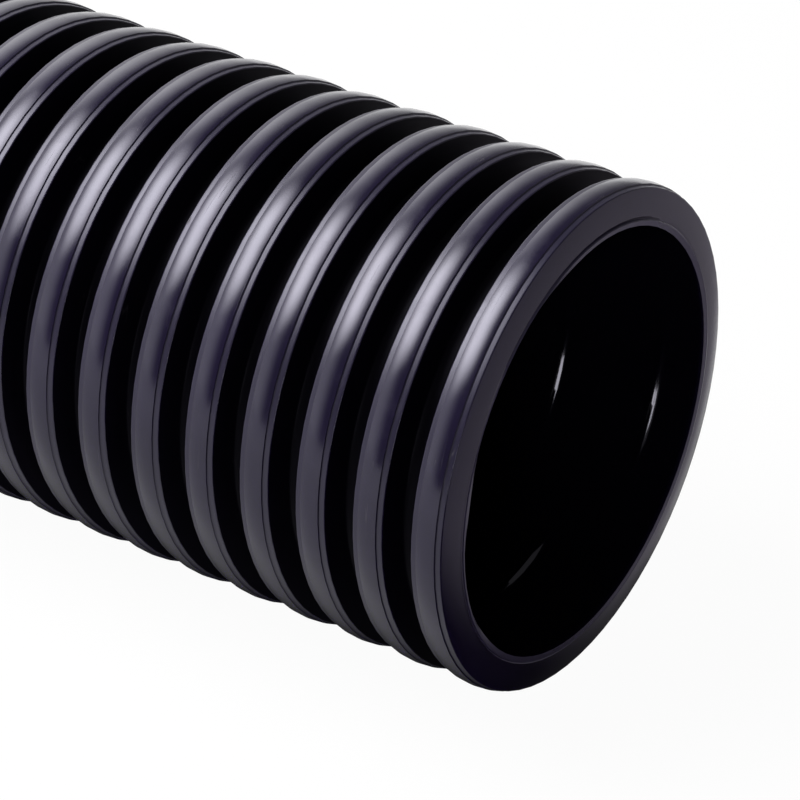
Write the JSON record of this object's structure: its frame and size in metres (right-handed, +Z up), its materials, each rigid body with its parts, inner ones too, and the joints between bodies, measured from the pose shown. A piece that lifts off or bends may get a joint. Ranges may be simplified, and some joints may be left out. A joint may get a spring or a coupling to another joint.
{
  "type": "corrugated plastic drainage pipe",
  "caption": "Straight length of black corrugated plastic drainage pipe: ring ribs outside, a smooth round bore, and both ends sawn square in the valley beside a rib.",
  "frame": {"origin": "on the floor under the middle of the pipe's length, the bottom centre of its box", "axes": "+X along the pipe towards the end that the picture shows, +Z up, the pipe lying on its ribs with its axis 0.089 m above the floor"},
  "size_m": [1, 0.178, 0.178],
  "materials": {
    "black_polyethylene": "black polyethylene, satin outside and glossier in the bore"
  },
  "bodies": {
    "root": {"corrugated_pipe": "black_polyethylene"}
  },
  "joints": []
}
